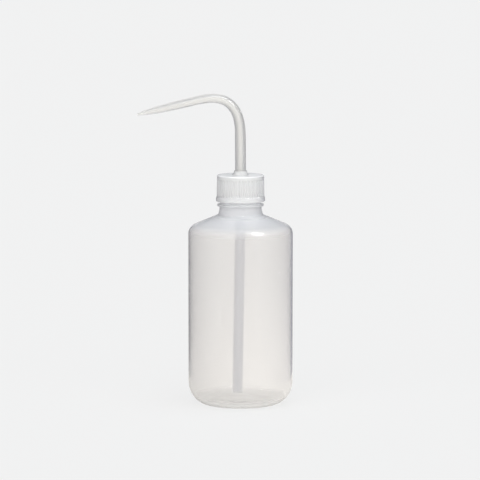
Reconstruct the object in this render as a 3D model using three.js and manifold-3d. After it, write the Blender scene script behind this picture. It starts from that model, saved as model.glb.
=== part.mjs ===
// A 500 ml laboratory wash bottle. A squeezable polyethylene bottle is closed by a ribbed screw cap.
// Under the cap an insert plugs the neck: a bent spout turns in the top of its sleeve, and a dip tube
// is pressed into the bottom. Squeezing the bottle sends liquid up the dip tube and out of the spout.
//
// Millimetres, +Z up. The origin is the centre of the base, on the surface that the bottle stands on.
// The spout points along -X.
import * as THREE from "three";
import { mergeVertices } from "three/addons/utils/BufferGeometryUtils.js";
import Module from "manifold-3d";

const wasm = await Module();
wasm.setup();

// ---------------------------------------------------------------- driving dimensions

const gap = 0.3; // clearance between neighbouring pieces
const weld = 1e-4; // vertices closer than this are one vertex

// Bottle body
const bodyRadius = 38;
const bodyWall = 1.2;
const floorThickness = 1.6;
const heelReach = 14.3; // how far the rounded heel comes in from the side
const heelHeight = 17.0; // and how far it goes up
const sideTop = 124.7; // where the straight side ends
const shoulderRadius = 7.6;
const shoulderSlope = THREE.MathUtils.degToRad(22.4);

// Bottle neck
const neckBaseRadius = 16.2; // where the neck stands on the shoulder
const neckWaistRadius = 15.1; // just under the ring
const ringRadius = 16.85;
const ringBottom = 145.0;
const ringTop = 146.4;
const neckFootRadius = 14.7; // just above the ring
const neckRadius = 14.0; // the wall that carries the thread
const threadZoneBottom = 151;
const boreRadius = 11.6;
const boreBottom = 147;
const lipTop = 162.9;

// Thread, right-handed: turning a piece by +2 pi about +Z lifts it by one pitch
const pitch = 4.233;
const neckThread = {
  root: neckRadius,
  crest: 15.0,
  baseWidth: 1.9,
  crestWidth: 0.9,
  bottom: 152.6,
  turns: 2.0,
};
const capThread = {
  root: 15.35,
  crest: 14.35,
  baseWidth: 1.5,
  crestWidth: 0.7,
  bottom: 152.4,
  turns: 1.5,
};
const threadRunOut = 0.12; // share of a turn over which a thread rises to its full height
const threadOffset = 1.4; // how far the cap's thread lies below the neck's

// Screw cap
const capTop = 167.6;
const capBottom = 148.5;
const lidThickness = 1.3;
const capTopRadius = 17.05;
const capSkirtRadius = 17.35;
const capFlangeRadius = 17.8;
const capFlangeTop = 152.2;
const capHoleRadius = 6.2;
const capEdge = 0.8; // rounding of the top edge
const ribCount = 44;
const ribRootRadius = 16.55;
const ribBottom = 152.0;
const ribTop = 164.6;

// Insert, liner and tubes
const collarRadius = capHoleRadius - gap;
const collarMouthRadius = 4.75;
const collarTop = 170.6;
const flangeRadius = 13.4;
const flangeThickness = 1.5;
const plugSkirt = { outer: boreRadius - gap, inner: 10.1, bottom: 157.9, chamfer: 0.9 };
const sleeveRadius = 5.4;
const sleeveBottom = 148;
const stopRadius = 2.9; // the shoulder inside the sleeve that both tubes meet
const stopBottom = 156.7;
const stopTop = 157.7;
const bead = { radius: 4.45, bottom: 160.75, top: 161.85 }; // snap ring on the spout
const linerThickness = 1.0;
const linerRadius = 13.9;
const linerHoleRadius = 6.4;

const stemRadius = 3.93;
const boreShare = 0.53; // the spout's bore as a share of its outer size
const leanBottom = 171; // from here the stem leans a little towards the arm's side
const leanAngle = 0.01; // its lean where the bend starts, in radians
const bendBottom = 193.7;
const bendTightens = 28.9; // lengths over which the bend grows tighter, stays even and grows looser
const bendSteady = 1.0;
const bendLoosens = 23.9;
const bendAngle = THREE.MathUtils.degToRad(103.2);
const armLength = 42.9;
const armRadius = 3.0; // outer radius where the bend ends
const tipRadius = 0.76;
const drawPower = 3.2; // how late along the arm the tube draws down to its tip

const dipRadius = 3.72;
const dipBore = 2.6;
const dipBottom = 7.8;
const dipKnee = 144; // below this the dip tube leans towards the spout's side
const dipLean = THREE.MathUtils.degToRad(0.95);

// Facets
const bodySegments = 48;
const capSegments = 48;
const smallSegments = 32;
const tubeSegments = 16;
const threadSegments = 40; // per turn

// ---------------------------------------------------------------- solids and geometry

/** A closed geometry as a manifold-3d solid, faces out. */
function toSolid(geometry) {
  const bare = geometry.index ? geometry.toNonIndexed() : geometry.clone();
  const positions = new THREE.BufferGeometry();
  positions.setAttribute("position", bare.getAttribute("position"));
  const merged = mergeVertices(positions, weld);
  const corners = merged.index.array;
  const triangles = [];
  for (let i = 0; i < corners.length; i += 3) {
    const [a, b, c] = [corners[i], corners[i + 1], corners[i + 2]];
    if (a !== b && b !== c && c !== a) triangles.push(a, b, c);
  }
  const build = (list) =>
    new wasm.Manifold(
      new wasm.Mesh({
        numProp: 3,
        vertProperties: new Float32Array(merged.attributes.position.array),
        triVerts: new Uint32Array(list),
      }),
    );
  const solid = build(triangles);
  return solid.volume() < 0 ? build(triangles.reverse()) : solid;
}

/** A manifold-3d solid as a BufferGeometry. */
function toGeometry(solid) {
  const mesh = solid.getMesh();
  const positions = new Float32Array(mesh.numVert * 3);
  for (let i = 0; i < mesh.numVert; i++) {
    const start = i * mesh.numProp;
    positions.set(mesh.vertProperties.subarray(start, start + 3), i * 3);
  }
  const geometry = new THREE.BufferGeometry();
  geometry.setAttribute("position", new THREE.BufferAttribute(positions, 3));
  geometry.setIndex(new THREE.BufferAttribute(mesh.triVerts, 1));
  geometry.computeVertexNormals();
  return geometry;
}

/** Turns a profile of [radius, z] points about Z. It starts and ends on the axis, or closes on itself. */
function turned(profile, segments) {
  const points = profile.map(([r, z]) => new THREE.Vector2(r, z));
  const [first, last] = [points[0], points[points.length - 1]];
  if (first.x > 0 && !first.equals(last)) points.push(first.clone());
  return toSolid(new THREE.LatheGeometry(points, segments).rotateX(Math.PI / 2));
}

/** Points of an elliptic arc in the [radius, z] plane, from angle a to angle b. */
function arc(centreR, centreZ, reach, height, a, b, steps) {
  return Array.from({ length: steps + 1 }, (_, i) => {
    const t = THREE.MathUtils.lerp(a, b, i / steps);
    return [centreR + reach * Math.cos(t), centreZ + height * Math.sin(t)];
  });
}

/** Joins rings of points into a closed skin: each to the next, and if closed the last to the first. */
function loft(rings, closed) {
  const perRing = rings[0].length;
  const positions = rings.flat(2);
  const index = [];
  const last = closed ? rings.length : rings.length - 1;
  for (let i = 0; i < last; i++) {
    const [here, next] = [i * perRing, ((i + 1) % rings.length) * perRing];
    for (let j = 0; j < perRing; j++) {
      const k = (j + 1) % perRing;
      index.push(here + j, here + k, next + k, here + j, next + k, next + j);
    }
  }
  if (!closed) {
    const end = (rings.length - 1) * perRing;
    for (let j = 1; j < perRing - 1; j++) {
      index.push(0, j + 1, j, end, end + j, end + j + 1);
    }
  }
  const geometry = new THREE.BufferGeometry();
  geometry.setAttribute("position", new THREE.Float32BufferAttribute(positions, 3));
  geometry.setIndex(index);
  return toSolid(geometry);
}

/** One helical thread ridge, rooted a little inside the wall that carries it. */
function threadRidge(thread, drop) {
  const { root, crest, baseWidth, crestWidth, bottom, turns } = thread;
  const rooted = root + Math.sign(root - crest) * 0.5;
  const steps = Math.round(turns * threadSegments);
  const startAngle = ((bottom + drop - neckThread.bottom) / pitch) * 2 * Math.PI;
  const sections = Array.from({ length: steps + 1 }, (_, i) => {
    const turn = (i / steps) * turns;
    const rise = Math.min(1, turn / threadRunOut, (turns - turn) / threadRunOut);
    const top = THREE.MathUtils.lerp(root + (rooted - root) * 0.2, crest, rise);
    const angle = startAngle + turn * 2 * Math.PI;
    const z = bottom + turn * pitch;
    const corners = [
      [rooted, z - baseWidth / 2],
      [top, z - crestWidth / 2],
      [top, z + crestWidth / 2],
      [rooted, z + baseWidth / 2],
    ];
    return corners.map(([r, h]) => [r * Math.cos(angle), r * Math.sin(angle), h]);
  });
  return loft(sections, false);
}

/** A tube with a bore along stations in the XZ plane, each with its x, z, heading and two radii. */
function boredTube(stations) {
  const ring = ({ x, z, heading }, radius) =>
    Array.from({ length: tubeSegments }, (_, i) => {
      const t = (i / tubeSegments) * 2 * Math.PI;
      const across = radius * Math.cos(t);
      return [x + across * Math.cos(heading), radius * Math.sin(t), z + across * Math.sin(heading)];
    });
  const outside = stations.map((s) => ring(s, s.outer));
  const inside = stations.map((s) => ring(s, s.bore)).reverse();
  return loft([...outside, ...inside], true);
}

// ---------------------------------------------------------------- pieces

/** Height of the shoulder's cone at a radius, on a line tangent to an arc about the shoulder's centre. */
function coneHeight(radius, arcRadius) {
  const tangentR = bodyRadius - shoulderRadius + arcRadius * Math.sin(shoulderSlope);
  const tangentZ = sideTop + arcRadius * Math.cos(shoulderSlope);
  return tangentZ + (tangentR - radius) * Math.tan(shoulderSlope);
}

function bottleSolid() {
  const heelCentre = bodyRadius - heelReach;
  const shoulderCentre = bodyRadius - shoulderRadius;
  const quarter = Math.PI / 2;
  const shoulderEnd = quarter - shoulderSlope;
  const innerShoulder = shoulderRadius - bodyWall;
  const outside = [
    [0, 0],
    ...arc(heelCentre, heelHeight, heelReach, heelHeight, -quarter, 0, 8),
    ...arc(shoulderCentre, sideTop, shoulderRadius, shoulderRadius, 0, shoulderEnd, 5),
    [neckBaseRadius, coneHeight(neckBaseRadius, shoulderRadius)],
    [neckWaistRadius + 0.3, ringBottom - 3],
    [neckWaistRadius, ringBottom],
    [ringRadius - 0.3, ringBottom],
    [ringRadius, ringBottom + 0.4],
    [ringRadius, ringTop - 0.4],
    [ringRadius - 0.3, ringTop],
    [neckFootRadius, ringTop],
    [neckRadius, threadZoneBottom],
    [neckRadius, lipTop - 0.6],
    [neckRadius - 0.6, lipTop],
  ];
  const neckInside = neckBaseRadius - 1.9;
  const inside = [
    [boreRadius + 0.4, lipTop],
    [boreRadius, lipTop - 0.4],
    [boreRadius, boreBottom],
    [boreRadius + 1, boreBottom - 3.5],
    [neckInside, coneHeight(neckInside, innerShoulder)],
    ...arc(shoulderCentre, sideTop, innerShoulder, innerShoulder, shoulderEnd, 0, 5),
    ...arc(heelCentre, heelHeight, heelReach - bodyWall, heelHeight - floorThickness, 0, -quarter, 8),
    [0, floorThickness],
  ];
  return turned([...outside, ...inside], bodySegments).add(threadRidge(neckThread, 0));
}

/** The ring that cuts the grooves between the cap's grip ribs. */
function grooveCutter() {
  const clearRadius = capFlangeRadius + 1;
  const outline = new THREE.Shape().absarc(0, 0, clearRadius + 1, 0, 2 * Math.PI);
  const teeth = [];
  const ribAngle = (2 * Math.PI) / ribCount;
  const flanks = [0.2, 0.36, 0.64, 0.8]; // shares of a rib's angle: groove mouth, bottom, bottom, mouth
  for (let i = 0; i < ribCount; i++) {
    flanks.forEach((share, k) => {
      const r = k === 0 || k === 3 ? capSkirtRadius + 0.15 : ribRootRadius;
      const t = (i + share) * ribAngle;
      teeth.push(new THREE.Vector2(r * Math.cos(t), r * Math.sin(t)));
    });
  }
  outline.holes.push(new THREE.Path(teeth));
  const ring = new THREE.ExtrudeGeometry(outline, {
    depth: ribTop - ribBottom,
    bevelEnabled: false,
    curveSegments: capSegments / 2,
  });
  return toSolid(ring.translate(0, 0, ribBottom));
}

function capSolid() {
  const lidUnder = capTop - lidThickness;
  const shell = [
    [capHoleRadius, lidUnder],
    [capThread.root, lidUnder],
    [capThread.root, capBottom + 0.6],
    [capThread.root + 0.6, capBottom],
    [capFlangeRadius - 0.5, capBottom],
    [capFlangeRadius, capBottom + 0.6],
    [capFlangeRadius, capFlangeTop - 1.4],
    [capSkirtRadius, capFlangeTop],
    [capTopRadius, capTop - capEdge],
    [capTopRadius - 0.3, capTop - 0.3],
    [capTopRadius - capEdge, capTop],
    [capHoleRadius, capTop],
  ];
  const thread = threadRidge(capThread, threadOffset);
  return turned(shell, capSegments).subtract(grooveCutter()).add(thread);
}

function insertSolid() {
  const flangeBottom = lipTop + gap;
  const flangeTop = flangeBottom + flangeThickness;
  const webBottom = flangeBottom - gap;
  const { outer, inner, bottom, chamfer } = plugSkirt;
  const socketRadius = dipRadius + gap;
  const swivelRadius = stemRadius + gap + 0.02;
  const grooveRadius = bead.radius + gap + 0.05;
  const section = [
    [socketRadius, sleeveBottom],
    [sleeveRadius, sleeveBottom],
    [sleeveRadius, webBottom],
    [inner, webBottom],
    [inner, bottom],
    [outer - chamfer, bottom],
    [outer, bottom + chamfer * 1.5],
    [outer, flangeBottom],
    [flangeRadius, flangeBottom],
    [flangeRadius, flangeTop],
    [collarRadius, flangeTop],
    [collarRadius, capTop + 0.2],
    [collarMouthRadius + 0.35, capTop + 1.1],
    [collarMouthRadius, collarTop],
    [swivelRadius, collarTop],
    [swivelRadius, bead.top + gap],
    [grooveRadius, bead.top + gap],
    [grooveRadius, bead.bottom - gap],
    [swivelRadius, bead.bottom - gap],
    [swivelRadius, stopTop],
    [stopRadius, stopTop],
    [stopRadius, stopBottom],
    [socketRadius, stopBottom],
  ];
  return turned(section, smallSegments);
}

function linerSolid() {
  const bottom = lipTop + gap + flangeThickness + gap;
  const top = bottom + linerThickness;
  return turned(
    [
      [linerHoleRadius, bottom],
      [linerRadius, bottom],
      [linerRadius, top],
      [linerHoleRadius, top],
    ],
    smallSegments,
  );
}

/** Stations up the stem, round the bend and out along the drawn-down arm. */
function spoutStations() {
  const foot = stopTop + gap;
  const stations = [];
  const add = (x, z, heading, outer) =>
    stations.push({ x, z, heading, outer, bore: outer * boreShare });
  add(0, foot, 0, stemRadius);
  add(0, leanBottom, 0, stemRadius);
  const bendLength = bendTightens + bendSteady + bendLoosens;
  let x = (-leanAngle * (bendBottom - leanBottom)) / 2;
  let z = bendBottom;
  add(x, z, leanAngle, stemRadius);
  const bendSteps = 14;
  const fineSteps = 20;
  const step = bendLength / bendSteps / fineSteps;
  for (let i = 1; i <= bendSteps; i++) {
    for (let k = 0; k < fineSteps; k++) {
      const middle = bendHeading(((i - 1) * fineSteps + k + 0.5) * step);
      x -= step * Math.sin(middle);
      z += step * Math.cos(middle);
    }
    const outer = THREE.MathUtils.lerp(stemRadius, armRadius, i / bendSteps);
    add(x, z, bendHeading((i / bendSteps) * bendLength), outer);
  }
  const armSteps = 10;
  for (let i = 1; i <= armSteps; i++) {
    const u = i / armSteps;
    const along = u * armLength;
    const outer = armRadius - (armRadius - tipRadius) * u ** drawPower;
    add(x - along * Math.sin(bendAngle), z + along * Math.cos(bendAngle), bendAngle, outer);
  }
  return stations;
}

/** The tube's angle from upright, a distance along it from where the bend starts. */
function bendHeading(distance) {
  const whole = bendTightens / 2 + bendSteady + bendLoosens / 2;
  const left = bendTightens + bendSteady + bendLoosens - distance;
  let share = 1 - left ** 2 / (2 * bendLoosens) / whole;
  if (distance < bendTightens) share = distance ** 2 / (2 * bendTightens) / whole;
  else if (left > bendLoosens) share = (distance - bendTightens / 2) / whole;
  return leanAngle + (bendAngle - leanAngle) * share;
}

function spoutSolid() {
  const embed = 0.4;
  const ring = turned(
    [
      [stemRadius - embed, bead.bottom],
      [stemRadius, bead.bottom],
      [bead.radius, bead.bottom + 0.3],
      [bead.radius, bead.top - 0.3],
      [stemRadius, bead.top],
      [stemRadius - embed, bead.top],
    ],
    smallSegments,
  );
  return boredTube(spoutStations()).add(ring);
}

function dipTubeSolid() {
  const station = (x, z, heading) => ({ x, z, heading, outer: dipRadius, bore: dipBore });
  const top = stopBottom - gap;
  const drop = dipKnee - dipBottom;
  return boredTube([
    station(-drop * Math.tan(dipLean), dipBottom, -dipLean),
    station(-(drop / 2) * Math.tan(dipLean), dipKnee - drop / 2, -dipLean),
    station(0, dipKnee, -dipLean / 2),
    station(0, top, 0),
  ]);
}

// ---------------------------------------------------------------- assembly

const materials = {
  bottle: new THREE.MeshStandardMaterial({ color: 0xe6e5e1, roughness: 0.42, metalness: 0 }),
  cap: new THREE.MeshStandardMaterial({ color: 0xdcdde0, roughness: 0.28, metalness: 0 }),
  insert: new THREE.MeshStandardMaterial({ color: 0xe4e4e2, roughness: 0.35, metalness: 0 }),
  liner: new THREE.MeshStandardMaterial({ color: 0xf2f2ee, roughness: 0.8, metalness: 0 }),
  spout: new THREE.MeshStandardMaterial({ color: 0xe3e4de, roughness: 0.25, metalness: 0 }),
  dip_tube: new THREE.MeshStandardMaterial({ color: 0xd6d7da, roughness: 0.3, metalness: 0 }),
};

const solids = {
  bottle: bottleSolid(),
  cap: capSolid(),
  insert: insertSolid(),
  liner: linerSolid(),
  spout: spoutSolid(),
  dip_tube: dipTubeSolid(),
};

const washBottle = new THREE.Group();
for (const [name, solid] of Object.entries(solids)) {
  const mesh = new THREE.Mesh(toGeometry(solid), materials[name]);
  mesh.name = name;
  washBottle.add(mesh);
}

export default washBottle;
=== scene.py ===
"""A 500 ml laboratory wash bottle in natural polyethylene, standing on a pale studio floor.

Every piece is a smooth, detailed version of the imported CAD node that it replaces, and rides on the
same body. Their sizes are in millimetres and turned into metres when a mesh is made. The sizes in
the materials and the studio are in metres.
"""
import math

import bmesh
import bpy
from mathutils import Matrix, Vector


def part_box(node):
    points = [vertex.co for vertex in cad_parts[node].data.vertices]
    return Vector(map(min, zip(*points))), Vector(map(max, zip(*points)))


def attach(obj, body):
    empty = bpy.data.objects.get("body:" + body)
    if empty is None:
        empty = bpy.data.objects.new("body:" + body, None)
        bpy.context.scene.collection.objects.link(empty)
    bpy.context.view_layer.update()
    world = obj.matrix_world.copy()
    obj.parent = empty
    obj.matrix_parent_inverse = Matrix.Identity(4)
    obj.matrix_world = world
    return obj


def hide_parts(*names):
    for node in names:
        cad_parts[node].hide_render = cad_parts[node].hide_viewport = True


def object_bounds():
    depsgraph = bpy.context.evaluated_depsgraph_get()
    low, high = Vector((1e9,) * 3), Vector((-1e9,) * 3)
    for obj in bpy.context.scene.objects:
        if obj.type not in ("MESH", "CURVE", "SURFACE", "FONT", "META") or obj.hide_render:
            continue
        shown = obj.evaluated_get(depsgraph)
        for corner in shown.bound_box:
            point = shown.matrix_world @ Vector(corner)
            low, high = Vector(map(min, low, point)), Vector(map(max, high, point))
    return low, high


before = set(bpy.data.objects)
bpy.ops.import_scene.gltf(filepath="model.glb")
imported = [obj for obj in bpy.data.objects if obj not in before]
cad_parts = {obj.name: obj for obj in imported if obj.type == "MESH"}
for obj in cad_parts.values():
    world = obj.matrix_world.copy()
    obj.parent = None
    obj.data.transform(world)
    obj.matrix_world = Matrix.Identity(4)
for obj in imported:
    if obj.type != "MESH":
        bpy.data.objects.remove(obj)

CAD_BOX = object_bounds()
MM = 0.001
TURN = 2 * math.pi


# ---------------------------------------------------------------- sizes, read from the frame

def size_of(node):
    """A CAD node's lowest and highest corners, in millimetres."""
    low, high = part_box(node)
    return Vector(low) / MM, Vector(high) / MM


BOTTLE_HIGH = size_of("bottle")[1]
CAP_LOW, CAP_HIGH = size_of("cap")
INSERT_LOW, INSERT_HIGH = size_of("insert")
LINER_LOW, LINER_HIGH = size_of("liner")
SPOUT_LOW = size_of("spout")[0]
DIP_HIGH = size_of("dip_tube")[1]

BODY_R = BOTTLE_HIGH.x
LIP_Z = BOTTLE_HIGH.z
CAP_TOP, CAP_BOTTOM = CAP_HIGH.z, CAP_LOW.z
CAP_FLANGE_R = CAP_HIGH.x

WALL = 1.2
PITCH = 4.233
NECK_R = 14.0
BORE_R = 11.6
STEM_R = 3.93
DIP_R, DIP_BORE_R = 3.72, 2.6
THREAD_BOTTOM, THREAD_DEPTH = 152.6, 1.0


# ---------------------------------------------------------------- mesh tools

def make_piece(name, vertices, faces, smooth_angle=35):
    """A smooth-shaded object from vertices in millimetres, with its faces turned outwards."""
    mesh = bpy.data.meshes.new(name)
    mesh.from_pydata([Vector(v) * MM for v in vertices], [], faces)
    mesh.validate()
    facing_out = bmesh.new()
    facing_out.from_mesh(mesh)
    bmesh.ops.recalc_face_normals(facing_out, faces=facing_out.faces)
    facing_out.to_mesh(mesh)
    facing_out.free()
    mesh.shade_smooth()
    mesh.set_sharp_from_angle(angle=math.radians(smooth_angle))
    piece = bpy.data.objects.new(name, mesh)
    bpy.context.collection.objects.link(piece)
    return piece


def rounded(corners, steps=5):
    """A profile with each (r, z, radius) corner turned into an arc of that radius. Ends stay sharp."""
    points = []
    last = len(corners) - 1
    for i, (r, z, radius) in enumerate(corners):
        here = Vector((r, z))
        if radius <= 0 or i in (0, last):
            points.append(here)
            continue
        back = Vector(corners[i - 1][:2]) - here
        ahead = Vector(corners[i + 1][:2]) - here
        half = back.angle(ahead) / 2
        reach = min(radius / math.tan(half), back.length * 0.49, ahead.length * 0.49)
        start = here + back.normalized() * reach
        end = here + ahead.normalized() * reach
        for k in range(steps + 1):
            t = k / steps
            points.append(start * (1 - t) ** 2 + here * 2 * t * (1 - t) + end * t ** 2)
    return points


def divided(points, longest):
    """A profile with each stretch cut so that no piece of it is longer than that."""
    made = [points[0]]
    for a, b in zip(points, points[1:]):
        parts = max(1, math.ceil((b - a).length / longest))
        made += [a.lerp(b, k / parts) for k in range(1, parts + 1)]
    return made


def arc(centre, radii, start, end, steps):
    """Points of an elliptic arc in the (r, z) plane, angles in radians."""
    return [
        Vector((centre[0] + radii[0] * math.cos(t), centre[1] + radii[1] * math.sin(t)))
        for t in (start + (end - start) * k / steps for k in range(steps + 1))
    ]


def turned(name, profile, segments, shape=None, closed=False, smooth_angle=35):
    """Turns a profile about Z. shape(point, angle) gives a moved radius and height for a point.

    A closed profile runs on from its last point to its first.
    """
    vertices, faces, rings = [], [], []
    for point in profile:
        if point.x < 1e-6:
            rings.append([len(vertices)] * segments)
            vertices.append((0, 0, point.y))
            continue
        rings.append(list(range(len(vertices), len(vertices) + segments)))
        for k in range(segments):
            angle = TURN * k / segments
            r, z = shape(point, angle) if shape else (point.x, point.y)
            vertices.append((r * math.cos(angle), r * math.sin(angle), z))
    pairs = list(zip(rings, rings[1:])) + ([(rings[-1], rings[0])] if closed else [])
    for low, high in pairs:
        for k in range(segments):
            n = (k + 1) % segments
            corners = [low[k], low[n], high[n], high[k]]
            face = [c for i, c in enumerate(corners) if c != corners[i - 1]]
            if len(face) > 2:
                faces.append(face)
    return make_piece(name, vertices, faces, smooth_angle)


def swept(name, stations, sides, smooth_angle=40):
    """A tube with a bore along stations (x, z, heading, outer radius, bore radius) in the XZ plane."""
    vertices, faces = [], []

    def ring(station, radius):
        x, z, heading = station[:3]
        start = len(vertices)
        for k in range(sides):
            t = TURN * k / sides
            across = radius * math.cos(t)
            vertices.append(
                (x + across * math.cos(heading), radius * math.sin(t), z + across * math.sin(heading))
            )
        return start

    rings = [ring(s, s[3]) for s in stations] + [ring(s, s[4]) for s in reversed(stations)]
    for here, after in zip(rings, rings[1:] + rings[:1]):
        for k in range(sides):
            n = (k + 1) % sides
            faces.append((here + k, here + n, after + n, after + k))
    return make_piece(name, vertices, faces, smooth_angle)


def smoothstep(low, high, value):
    """Goes from 0 to 1 while the value goes from low to high."""
    t = min(1, max(0, (value - low) / (high - low)))
    return t * t * (3 - 2 * t)


def thread_height(angle, z, turns, half_base, half_crest):
    """How far a right-hand thread stands out at a point. It runs out over its ends."""
    start_turn = angle / TURN
    nearest = round((z - THREAD_BOTTOM) / PITCH - start_turn)
    turn = start_turn + nearest
    off = abs(z - THREAD_BOTTOM - turn * PITCH)
    run_out = smoothstep(0, 0.12, turn) * smoothstep(0, 0.12, turns - turn)
    return THREAD_DEPTH * run_out * (1 - smoothstep(half_crest, half_base, off))


# ---------------------------------------------------------------- bottle

SHOULDER_R = 7.6
SHOULDER_Z = 124.7
SHOULDER_SLOPE = math.radians(22.4)
HEEL_REACH, HEEL_HEIGHT = 14.3, 17.0
FLOOR, FLOOR_TOP = 1.6, 2.5
HOLLOW_R, HOLLOW_DEPTH = 18.0, 1.1
NECK_ROOT_R, INNER_ROOT_R = 16.2, 14.3
RING_R, RING_Z = 16.85, (145.0, 146.4)
LIP_MIDDLE_R = 12.9


def cone_height(radius, arc_radius):
    """The height of the shoulder's straight slope at a radius, outside or inside the wall."""
    tangent_r = BODY_R - SHOULDER_R + arc_radius * math.sin(SHOULDER_SLOPE)
    tangent_z = SHOULDER_Z + arc_radius * math.cos(SHOULDER_SLOPE)
    return tangent_z + (tangent_r - radius) * math.tan(SHOULDER_SLOPE)


def bottle_profile():
    heel = (BODY_R - HEEL_REACH, HEEL_HEIGHT)
    shoulder = (BODY_R - SHOULDER_R, SHOULDER_Z)
    quarter = math.pi / 2
    slope_end = quarter - SHOULDER_SLOPE
    base = rounded([
        (0, HOLLOW_DEPTH, 0),
        (HOLLOW_R, HOLLOW_DEPTH - 0.2, 2),
        (HOLLOW_R + 1.6, 0, 1.5),
        (heel[0], 0, 0),
    ])
    sides = arc(heel, (HEEL_REACH, HEEL_HEIGHT), -quarter, 0, 20)
    top = arc(shoulder, (SHOULDER_R, SHOULDER_R), 0, slope_end, 14)
    neck = rounded([
        (*top[-1], 0),
        (NECK_ROOT_R, cone_height(NECK_ROOT_R, SHOULDER_R), 1.6),
        (15.35, RING_Z[0] - 2.6, 2),
        (15.1, RING_Z[0], 0.35),
        (RING_R, RING_Z[0], 0.45),
        (RING_R, RING_Z[1], 0.45),
        (14.7, RING_Z[1], 0.5),
        (NECK_R, 151, 3),
        (NECK_R, LIP_Z, 0.7),
        (LIP_MIDDLE_R, LIP_Z, 0),
    ], 6)
    inner_r = SHOULDER_R - WALL
    inner_heel = (HEEL_REACH - WALL, HEEL_HEIGHT - FLOOR)
    inside_top = arc(shoulder, (inner_r, inner_r), slope_end, 0, 12)
    inside_heel = arc(heel, inner_heel, 0, -quarter, 18)
    bore = rounded([
        (LIP_MIDDLE_R, LIP_Z, 0),
        (BORE_R, LIP_Z, 0.7),
        (BORE_R, 147, 3),
        (12.6, 143.5, 2),
        (INNER_ROOT_R, cone_height(INNER_ROOT_R, inner_r), 1.5),
        (*inside_top[0], 0),
    ], 6)
    inside_floor = [Vector((HOLLOW_R, FLOOR_TOP - 0.2)), Vector((0, FLOOR_TOP))]
    outside = base + divided(sides + top, 2) + divided(neck, 0.35)
    inside = bore + divided(inside_top + inside_heel, 6) + inside_floor
    points = []
    for p in outside + inside:
        if not points or (p - points[-1]).length > 1e-4:
            points.append(p)
    return points


def neck_threads(point, angle):
    """Raises the thread on the neck's outer wall, between the ring's fillet and the lip."""
    r, z = point
    if abs(r - NECK_R) < 0.75 and THREAD_BOTTOM - 2.1 < z < LIP_Z - 0.5:
        r += thread_height(angle, z, turns=2.0, half_base=0.85, half_crest=0.4)
    return r, z


bottle = turned("bottle_shell", bottle_profile(), 160, neck_threads)


# ---------------------------------------------------------------- cap

RIBS = 44
CAP_SKIRT_R, CAP_TOP_R, RIB_ROOT_R = 17.35, 17.05, 16.55
CAP_INNER_R, CAP_HOLE_R, LID = 15.35, 6.2, 1.3
RIB_Z = (152.2, 164.8)
CAP_THREAD_DROP = 1.4


def cap_profile():
    outside = rounded([
        (CAP_HOLE_R, CAP_TOP, 0),
        (CAP_TOP_R, CAP_TOP, 0.7),
        (CAP_SKIRT_R, RIB_Z[0], 1.0),
        (CAP_FLANGE_R, RIB_Z[0] - 1.6, 0.6),
        (CAP_FLANGE_R, CAP_BOTTOM, 0.5),
        (CAP_INNER_R, CAP_BOTTOM, 0.5),
        (CAP_INNER_R, CAP_TOP - LID, 0.5),
        (CAP_HOLE_R, CAP_TOP - LID, 0.3),
        (CAP_HOLE_R, CAP_TOP, 0),
    ], 6)
    return divided(outside, 0.45)[:-1]


def cap_shape(point, angle):
    """Cuts the grooves between the ribs outside and raises the thread inside."""
    r, z = point
    if r > 15.9 and RIB_Z[0] - 0.4 < z < CAP_TOP - 0.01:
        share = (angle / TURN * RIBS) % 1
        groove = smoothstep(0.18, 0.38, share) * (1 - smoothstep(0.62, 0.82, share))
        foot = smoothstep(RIB_Z[0] - 0.2, RIB_Z[0] + 0.7, z)
        head = 1 - smoothstep(RIB_Z[1] - 0.7, RIB_Z[1], z)
        r -= (r - RIB_ROOT_R) * groove * foot * head
    elif abs(r - CAP_INNER_R) < 0.05 and z < CAP_TOP - LID - 0.5:
        r -= thread_height(angle, z + CAP_THREAD_DROP, turns=1.6, half_base=0.72, half_crest=0.33)
    return r, z


cap = turned("cap_shell", cap_profile(), RIBS * 10, cap_shape, closed=True, smooth_angle=40)


# ---------------------------------------------------------------- insert, liner and tubes

def insert_profile():
    """The plug, flange, collar and sleeve, with the groove for the spout's bead and the tubes' stop."""
    flange = (LIP_Z + 0.3, LIP_Z + 1.8)
    swivel_r, socket_r, stop_r = STEM_R + 0.32, DIP_R + 0.3, 2.9
    sleeve_r, groove_r, groove_z = 5.4, 4.8, (160.4, 162.2)
    plug_r, plug_inner_r, plug_bottom = 11.3, 10.1, 157.9
    collar_r, collar_top = 5.9, INSERT_HIGH.z
    stop_z = (156.7, 157.7)
    section = rounded([
        (socket_r, INSERT_LOW.z, 0),
        (sleeve_r, INSERT_LOW.z, 0.4),
        (sleeve_r, flange[0] - 0.3, 0.5),
        (plug_inner_r, flange[0] - 0.3, 0.5),
        (plug_inner_r, plug_bottom, 0.2),
        (plug_inner_r + 0.4, plug_bottom, 0.3),
        (plug_r, plug_bottom + 1.3, 0.4),
        (plug_r, flange[0], 0.2),
        (INSERT_HIGH.x, flange[0], 0.3),
        (INSERT_HIGH.x, flange[1], 0.4),
        (collar_r, flange[1], 0.3),
        (collar_r, CAP_TOP + 0.3, 0.4),
        (5.0, CAP_TOP + 1.2, 1.0),
        (4.75, collar_top, 0.25),
        (swivel_r, collar_top, 0.1),
        (swivel_r, groove_z[1], 0),
        (groove_r, groove_z[1], 0),
        (groove_r, groove_z[0], 0),
        (swivel_r, groove_z[0], 0),
        (swivel_r, stop_z[1], 0),
        (stop_r, stop_z[1], 0),
        (stop_r, stop_z[0], 0),
        (socket_r, stop_z[0], 0),
        (socket_r, INSERT_LOW.z, 0),
    ], 5)
    return divided(section, 1.5)[:-1]


insert = turned("insert_body", insert_profile(), 96, closed=True)

LINER_HOLE_R = 6.4

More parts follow.
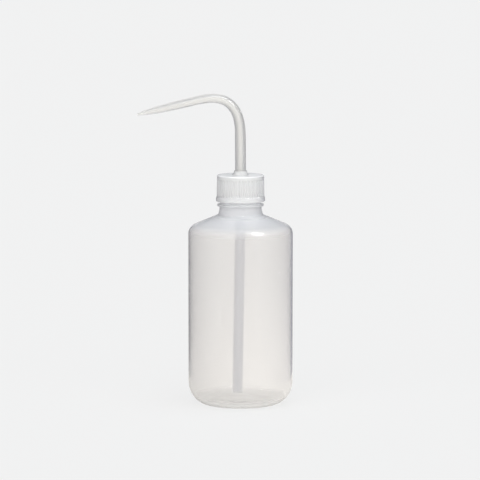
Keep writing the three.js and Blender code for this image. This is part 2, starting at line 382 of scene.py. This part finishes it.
liner = turned("liner_disc", divided(rounded([
    (LINER_HOLE_R, LINER_LOW.z, 0),
    (LINER_HIGH.x, LINER_LOW.z, 0.2),
    (LINER_HIGH.x, LINER_HIGH.z, 0.2),
    (LINER_HOLE_R, LINER_HIGH.z, 0.2),
    (LINER_HOLE_R, LINER_LOW.z, 0),
]), 2)[:-1], 96, closed=True)

LEAN_Z, BEND_Z, LEAN = 171.0, 193.7, 0.01
TIGHTENS, STEADY, LOOSENS = 28.9, 1.0, 23.9
BEND_LENGTH = TIGHTENS + STEADY + LOOSENS
BEND_ANGLE = math.radians(103.2)
ARM, ARM_R, TIP_R = 42.9, 3.0, 0.76
DRAW_POWER = 3.2
BORE_SHARE = 0.53
BEAD_R, BEAD_END = 4.45, 4.1


def bend_heading(distance):
    """The spout's angle from upright, that far along its bend, which tightens and then loosens evenly."""
    whole = TIGHTENS / 2 + STEADY + LOOSENS / 2
    left = BEND_LENGTH - distance
    if distance < TIGHTENS:
        share = distance ** 2 / (2 * TIGHTENS) / whole
    elif left > LOOSENS:
        share = (distance - TIGHTENS / 2) / whole
    else:
        share = 1 - left ** 2 / (2 * LOOSENS) / whole
    return LEAN + (BEND_ANGLE - LEAN) * share


def spout_stations():
    """The foot with its bead, the stem, the lean, the bend and the arm, drawn down to the tip."""
    foot = SPOUT_LOW.z
    made = []

    def add(x, z, heading, outer, share):
        made.append((x, z, heading, outer, outer * share))

    bead = ((2.7, STEM_R), (3.05, BEAD_R), (3.75, BEAD_R), (BEAD_END, STEM_R))
    for z, outer in ((0, 3.6), (0.3, STEM_R), *bead):
        add(0, foot + z, 0, outer, BORE_SHARE * STEM_R / outer)
    add(0, (foot + BEAD_END + LEAN_Z) / 2, 0, STEM_R, BORE_SHARE)
    add(0, LEAN_Z, 0, STEM_R, BORE_SHARE)
    lean_rings, bend_rings, steps_a_ring, arm_rings = 8, 60, 10, 40
    for k in range(1, lean_rings + 1):
        t = k / lean_rings
        rise = t * (BEND_Z - LEAN_Z)
        add(-LEAN * rise * t / 2, LEAN_Z + rise, LEAN * t, STEM_R, BORE_SHARE)
    x, z = made[-1][:2]
    steps = bend_rings * steps_a_ring
    step = BEND_LENGTH / steps
    for k in range(1, steps + 1):
        middle = bend_heading((k - 0.5) * step)
        x -= step * math.sin(middle)
        z += step * math.cos(middle)
        if k % steps_a_ring == 0:
            outer = STEM_R + (ARM_R - STEM_R) * k / steps
            add(x, z, bend_heading(k * step), outer, BORE_SHARE)
    across, up = -ARM * math.sin(BEND_ANGLE), ARM * math.cos(BEND_ANGLE)
    for k in range(1, arm_rings + 1):
        t = k / arm_rings
        outer = ARM_R - (ARM_R - TIP_R) * t ** DRAW_POWER
        add(x + t * across, z + t * up, BEND_ANGLE, outer, BORE_SHARE)
    return made


spout = swept("spout_skin", spout_stations(), 56)


def dip_stations():
    """A straight tube that leans below its knee and stands upright in the sleeve above it."""
    lean = math.radians(0.95)
    knee, bottom, top, parts = 144.0, 7.8, DIP_HIGH.z, 20
    heights = [bottom + (knee - 6 - bottom) * k / parts for k in range(parts + 1)]
    way = [(-(knee - z) * math.tan(lean), z, -lean) for z in heights]
    way += [(-0.02, knee, -lean / 2), (0, knee + 4, 0), (0, top, 0)]
    return [(*place, DIP_R, DIP_BORE_R) for place in way]


dip_tube = swept("dip_tube_skin", dip_stations(), 48)


# ---------------------------------------------------------------- materials

class Nodes:
    """Short names for building the node tree of a material or a world."""

    def __init__(self, owner):
        self.owner = owner
        owner.use_nodes = True
        self.tree = owner.node_tree
        self.tree.nodes.clear()

    def add(self, kind, settings=None, **inputs):
        """A node with its inputs set or linked. A key such as i2 means the input with that number."""
        node = self.tree.nodes.new("ShaderNode" + kind)
        for key, value in (settings or {}).items():
            setattr(node, key, value)
        for key, value in inputs.items():
            socket = node.inputs[int(key[1:]) if key.startswith("i") else key.replace("_", " ")]
            if isinstance(value, bpy.types.NodeSocket):
                self.tree.links.new(value, socket)
            else:
                socket.default_value = value
        return node

    def ramp(self, value, start, end, low=0.0, high=1.0, smooth=False):
        """A number that goes from low to high while the value goes from start to end."""
        kind = {"interpolation_type": "SMOOTHSTEP" if smooth else "LINEAR"}
        return self.add("MapRange", kind, Value=value, From_Min=start, From_Max=end,
                        To_Min=low, To_Max=high).outputs[0]

    def maths(self, operation, *values):
        numbered = {f"i{k}": value for k, value in enumerate(values)}
        return self.add("Math", {"operation": operation}, **numbered).outputs[0]

    def number(self, share, first, second):
        """A number that goes from the first to the second while the share goes from 0 to 1."""
        return self.add("Mix", {"data_type": "FLOAT"}, i0=share, i2=first, i3=second).outputs[0]

    def colour(self, share, first, second, way="MIX"):
        """The same for two colours, each a socket or red, green and blue."""
        first, second = ((*c, 1) if isinstance(c, tuple) else c for c in (first, second))
        settings = {"data_type": "RGBA", "blend_type": way}
        return self.add("Mix", settings, i0=share, i6=first, i7=second).outputs[2]

    def shader(self, share, first, second):
        """The same for two shaders."""
        return self.add("MixShader", i0=share, i1=first, i2=second).outputs[0]

    def open_to_lamps(self, shader, share):
        """Lets that share of the lamps' light straight through, which refraction alone would stop."""
        shadow = self.add("LightPath").outputs["Is Shadow Ray"]
        clear = self.add("BsdfTransparent").outputs[0]
        return self.shader(self.maths("MULTIPLY", shadow, share), shader, clear)

    def surface(self, shader, depth_tint=None, density=0.0):
        """Density is what one metre of the plastic takes off, in the colours that depth_tint lacks."""
        out = self.add("OutputMaterial", Surface=shader)
        if depth_tint:
            inside = self.add("VolumeAbsorption", Color=(*depth_tint, 1), Density=density)
            self.tree.links.new(inside.outputs[0], out.inputs["Volume"])
        return self.owner


PLASTIC_IOR = 1.51


def translucent_plastic(name, tint, glow, clear, roughness, depth_tint, density,
                        waviness=0.0, grain=0.03, lamp_share=0.5, zones=()):
    """Milky plastic: clear is the share of the light that is refracted, and the rest is scattered.

    glow is the share of the scattered light that goes on into the wall instead of coming back.
    lamp_share is the share of the lamps' light that the wall lets straight through.

    Each zone has the two heights, in metres, between which it starts, and its own tint, clear share
    or roughness beyond them. Zone tints are painted shade on some bands and painted light on others,
    not colours of the plastic. A later zone covers an earlier one.
    """
    n = Nodes(bpy.data.materials.new(name))
    place = n.add("TexCoord").outputs["Object"]
    broad = n.add("TexNoise", Vector=place, Scale=38.0, Detail=2.0).outputs["Fac"]
    fine = n.add("TexNoise", Vector=place, Scale=900.0, Detail=3.0).outputs["Fac"]
    height = n.add("SeparateXYZ", Vector=place).outputs["Z"]
    for zone in zones:
        within = n.ramp(height, *zone["between"], smooth=True)
        # A zone's tint is painted shade or painted light on its band.
        if "tint" in zone:
            tint = n.colour(within, tint, zone["tint"])
        if "clear" in zone:
            clear = n.number(within, clear, zone["clear"])
        if "roughness" in zone:
            roughness = n.number(within, roughness, zone["roughness"])
    tint = n.colour(broad, tint, (0.97, 0.97, 0.97), "MULTIPLY")
    relief = n.maths("MULTIPLY_ADD", fine, grain, n.maths("MULTIPLY", broad, waviness))
    bump = n.add("Bump", Height=relief, Strength=0.25, Distance=0.0002).outputs["Normal"]
    haze = n.maths("MULTIPLY", n.ramp(broad, 0.0, 1.0, 0.85, 1.15), roughness)
    front = n.add("BsdfDiffuse", Color=tint, Normal=bump).outputs[0]
    behind = n.add("BsdfTranslucent", Color=tint, Normal=bump).outputs[0]
    scattered = n.shader(glow, front, behind)
    through = n.add("BsdfGlass", Color=(0.995, 0.995, 0.99, 1), Roughness=haze, IOR=PLASTIC_IOR,
                    Normal=bump).outputs[0]
    gloss = n.add("Fresnel", IOR=PLASTIC_IOR, Normal=bump).outputs[0]
    shine = n.maths("MULTIPLY_ADD", n.maths("SUBTRACT", 1.0, clear), gloss, clear)
    whole = n.shader(shine, scattered, through)
    return n.surface(n.open_to_lamps(whole, lamp_share), depth_tint, density)


def solid_foam(name, tint):
    """Opaque foam whose cells show as a faint mottle and a shallow relief."""
    n = Nodes(bpy.data.materials.new(name))
    place = n.add("TexCoord").outputs["Object"]
    cells = n.add("TexVoronoi", Vector=place, Scale=2200.0).outputs["Distance"]
    bump = n.add("Bump", Height=cells, Strength=0.3, Distance=0.0001).outputs["Normal"]
    mottle = n.colour(cells, tint, tuple(c * 0.93 for c in tint))
    return n.surface(n.add("BsdfPrincipled", Base_Color=mottle, Roughness=0.8, Normal=bump).outputs[0])


WALL_PLASTIC = translucent_plastic(
    "natural_ldpe", (0.97, 0.94, 0.92), glow=0.45, clear=0.74, roughness=0.10,
    depth_tint=(0.42, 0.36, 0.32), density=14, waviness=0.2,
    zones=(
        # The shoulder band is milkier plastic. Its darker, bluish tint is painted shade, dimming the light
        # from the lamp above.
        {"between": (0.1240, 0.1345), "tint": (0.82, 0.83, 0.85), "clear": 0.38},
        # The foot is milkier plastic. Its greyer tint is painted shade, darker towards the bottom.
        {"between": (0.0070, 0.0030), "tint": (0.86, 0.86, 0.85), "clear": 0.35},
        # The neck's pale, bluish tint is painted light that lifts the neck out of the shade under the cap.
        # Its higher roughness is real haze.
        {"between": (0.1330, 0.1400), "tint": (0.95, 0.96, 0.98), "roughness": 0.36},
    ))
CAP_PLASTIC = translucent_plastic(
    "natural_pp", (1.0, 1.0, 1.0), glow=0.28, clear=0.6, roughness=0.2,
    depth_tint=(0.35, 0.38, 0.45), density=10, lamp_share=0.6,
    zones=({"between": (0.1664, 0.1674), "clear": 0.08},))
INSERT_PLASTIC = translucent_plastic(
    "insert_pe", (0.98, 0.98, 0.975), glow=0.4, clear=0.4, roughness=0.12,
    depth_tint=(0.4, 0.42, 0.45), density=8, lamp_share=0.6)
SPOUT_PLASTIC = translucent_plastic(
    "spout_pe", (1.0, 0.985, 0.935), glow=0.35, clear=0.80, roughness=0.33,
    depth_tint=(0.38, 0.37, 0.34), density=30, grain=0.0)
DIP_PLASTIC = translucent_plastic(
    "dip_pe", (0.86, 0.885, 0.96), glow=0.5, clear=0.5, roughness=0.08,
    depth_tint=(0.3, 0.33, 0.42), density=90, grain=0.0)
LINER_FOAM = solid_foam("liner_foam", (0.9, 0.9, 0.88))

for piece, node, body, plastic in (
    (bottle, "bottle", "bottle", WALL_PLASTIC),
    (cap, "cap", "cap", CAP_PLASTIC),
    (insert, "insert", "insert", INSERT_PLASTIC),
    (liner, "liner", "liner", LINER_FOAM),
    (spout, "spout", "spout", SPOUT_PLASTIC),
    (dip_tube, "dip_tube", "insert", DIP_PLASTIC),
):
    piece.data.materials.append(plastic)
    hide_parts(node)
    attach(piece, body)


# ---------------------------------------------------------------- studio, in metres

TO_KEY = Vector((0.12, -0.05, 0.99))
TO_GLINT = Vector((0.49, -0.44, 0.75))
SHOULDER_FRONT = Vector((0.011, -0.034, 0.13))
PAPER_GLOW, WARM_GLOW = (1, 1, 0.995), (1, 0.975, 0.94)
PAPER_LEVEL, BOUNCE_LEVEL = 0.775, 0.725
FLOOR_HALF = 8.0


def link_object(name, mesh):
    made = bpy.data.objects.new(name, mesh)
    bpy.context.collection.objects.link(made)
    return made


def turn_to(thing, direction):
    """Turns a thing so that its own Z axis points that way."""
    thing.rotation_mode = "QUATERNION"
    thing.rotation_quaternion = direction.to_track_quat("Z", "Y")


def studio_floor():
    """An even, pale floor. Its light on the object is warmer and brighter from the front up to it,
    above all on the right, and dimmer out to both sides.
    """
    n = Nodes(bpy.data.materials.new("studio_floor"))
    place = n.add("TexCoord").outputs["Object"]
    paper = n.add("TexNoise", Vector=place, Scale=120.0, Detail=4.0)
    card = n.add("BsdfDiffuse", Color=n.ramp(paper.outputs["Fac"], 0.0, 1.0, 0.09, 0.093))
    spot = n.add("SeparateXYZ", Vector=place)
    near = n.ramp(spot.outputs["Y"], 0.9, 0.02, smooth=True)
    to_right = n.ramp(spot.outputs["X"], -0.06, 0.06, 0.07, 0.36)
    beside = n.ramp(n.maths("ABSOLUTE", spot.outputs["X"]), 0.05, 0.13, 0.0, 0.2)
    lift = n.maths("SUBTRACT", n.maths("MULTIPLY_ADD", near, to_right, BOUNCE_LEVEL), beside)
    direct = n.add("LightPath").outputs["Is Camera Ray"]
    tint = n.colour(direct, n.colour(near, PAPER_GLOW, WARM_GLOW), PAPER_GLOW)
    glow = n.add("Emission", Color=tint, Strength=n.number(direct, lift, PAPER_LEVEL))
    both = n.add("AddShader", i0=card.outputs[0], i1=glow.outputs[0])
    half = FLOOR_HALF
    mesh = bpy.data.meshes.new("floor")
    mesh.from_pydata([(-half, -half, 0), (half, -half, 0), (half, half, 0), (-half, half, 0)], [],
                     [(0, 1, 2, 3)])
    mesh.materials.append(n.surface(both.outputs[0]))
    piece = link_object("floor", mesh)
    piece.location.z = CAD_BOX[0].z - 0.0002


def side_flag(side, reach, low_tone, high_tone):
    """A dark card beside the object and a dark sheet on the floor from there outwards.

    They fade to white towards the front, and show only in reflections and through the plastic.
    """
    n = Nodes(bpy.data.materials.new(f"flag_{side}"))
    spot = n.add("SeparateXYZ", Vector=n.add("TexCoord").outputs["Object"])
    dark = n.ramp(spot.outputs["Y"], -0.4, 0.35, smooth=True)
    tone = n.colour(n.ramp(spot.outputs["Z"], 0.09, 0.13), low_tone, high_tone)
    glow = n.add("Emission", Color=n.colour(dark, (1.0, 1.0, 1.0), tone), Strength=1.0)
    x, near, far, top = reach * side, -0.4, 1.5, 1.0
    wide, low = 1.5 * side, 0.0006
    upright = [(x, near, 0), (x, far, 0), (x, far, top), (x, near, top)]
    sheet = [(0.075 * side, 0.15, low), (x, far, low), (wide, far, low), (wide, near, low), (x, near, low)]
    mesh = bpy.data.meshes.new("flag")
    mesh.from_pydata(upright + sheet, [], [(0, 1, 2, 3), (4, 5, 6, 7, 8)])
    mesh.materials.append(n.surface(glow.outputs[0]))
    card = link_object(f"flag_{'right' if side > 0 else 'left'}", mesh)
    card.visible_camera = card.visible_shadow = card.visible_diffuse = False


def reflector(name, place, aim, radius, strength, stretch=1.0, sides=24):
    """A bright oval card that faces the aim and shows only as a gloss on the object."""
    n = Nodes(bpy.data.materials.new(f"card_{name}"))
    n.surface(n.add("Emission", Color=(1, 1, 1, 1), Strength=strength).outputs[0])
    n.owner.cycles.emission_sampling = "NONE"
    turns = [TURN * (k + 0.5) / sides for k in range(sides)]
    rim = [(radius * math.cos(t), stretch * radius * math.sin(t), 0) for t in turns]
    mesh = bpy.data.meshes.new(name)
    mesh.from_pydata(rim, [], [tuple(range(sides))])
    mesh.materials.append(n.owner)
    card = link_object(f"card_{name}", mesh)
    card.location = place
    turn_to(card, aim - place)
    card.visible_camera = card.visible_shadow = card.visible_diffuse = card.visible_transmission = False


def key_lamp():
    sun = bpy.data.lights.new("key", "SUN")
    sun.energy = 1.85
    sun.color = (0.93, 0.97, 1.0)
    sun.angle = math.radians(40)
    lamp = link_object("key", sun)
    turn_to(lamp, TO_KEY)
    lamp.visible_glossy = False


def studio_world():
    """Bright from the front, pale low down and dim above, with an even backdrop for the camera."""
    world = bpy.data.worlds.new("studio")
    bpy.context.scene.world = world
    n = Nodes(world)
    way = n.add("SeparateXYZ", Vector=n.add("TexCoord").outputs["Generated"])
    path = n.add("LightPath")
    low_down = n.ramp(way.outputs["Z"], 0.32, 0.17)
    in_front = n.ramp(way.outputs["Y"], -0.3, -0.85)
    sides = n.colour(low_down, (0.12, 0.13, 0.18), (0.78, 0.78, 0.79))
    fill = n.colour(path.outputs["Is Glossy Ray"], (3.0, 3.0, 3.0), (0.95, 0.95, 0.95))
    lit = n.add("Background", Color=n.colour(in_front, sides, fill), Strength=1.0)
    seen = n.add("Background", Color=(0.87, 0.87, 0.87, 1), Strength=1.0)
    both = n.shader(path.outputs["Is Camera Ray"], lit.outputs[0], seen.outputs[0])
    n.add("OutputWorld", Surface=both)


def studio_camera():
    lens = bpy.data.cameras.new("camera")
    lens.lens = 278.6
    lens.sensor_width = 36
    lens.clip_end = 50
    camera = link_object("camera", lens)
    aim, distance = Vector((-0.0004, 0, 0.120)), 2.7
    rise = math.radians(6.8)
    away = Vector((0, -math.cos(rise), math.sin(rise)))
    camera.location = aim + away * distance
    turn_to(camera, away)
    bpy.context.scene.camera = camera


studio_floor()
side_flag(-1, 0.34, (0.27, 0.27, 0.30), (0.24, 0.24, 0.28))
side_flag(1, 0.32, (0.29, 0.30, 0.37), (0.11, 0.12, 0.17))
reflector("glint", SHOULDER_FRONT + 0.45 * TO_GLINT, SHOULDER_FRONT, radius=0.09, strength=26, stretch=1.8)
key_lamp()
studio_world()
studio_camera()
bpy.context.scene.view_settings.view_transform = "Standard"
